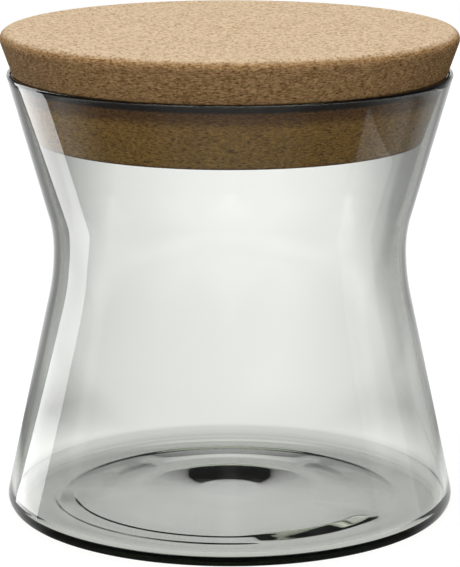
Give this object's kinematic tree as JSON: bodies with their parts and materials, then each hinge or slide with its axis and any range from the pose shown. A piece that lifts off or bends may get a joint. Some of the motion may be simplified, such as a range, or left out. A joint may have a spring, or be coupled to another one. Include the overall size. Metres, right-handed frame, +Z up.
{
  "type": "glass jar with cork lid",
  "caption": "Waisted clear glass storage jar with a tapered cork lid that lifts straight off.",
  "frame": {"origin": "on the jar's axis, at the table that its foot ring stands on", "axes": "+Z up along the jar's axis, towards the lid; X and Y are free, the jar is round"},
  "size_m": [0.15, 0.15, 0.1608],
  "materials": {
    "smoke_glass": "clear mouth-blown glass with a light grey-green tint, fire-polished lip",
    "cork": "matte pressed cork granules, pale sanded top and darker turned side"
  },
  "bodies": {
    "jar": {"glass_jar": "smoke_glass"},
    "lid": {"cork_lid": "cork"}
  },
  "joints": [
    {"name": "lid_lift", "type": "slide", "parent": "jar", "child": "lid", "axis": [0, 0, 1], "range_m": [0, 0.08]}
  ]
}
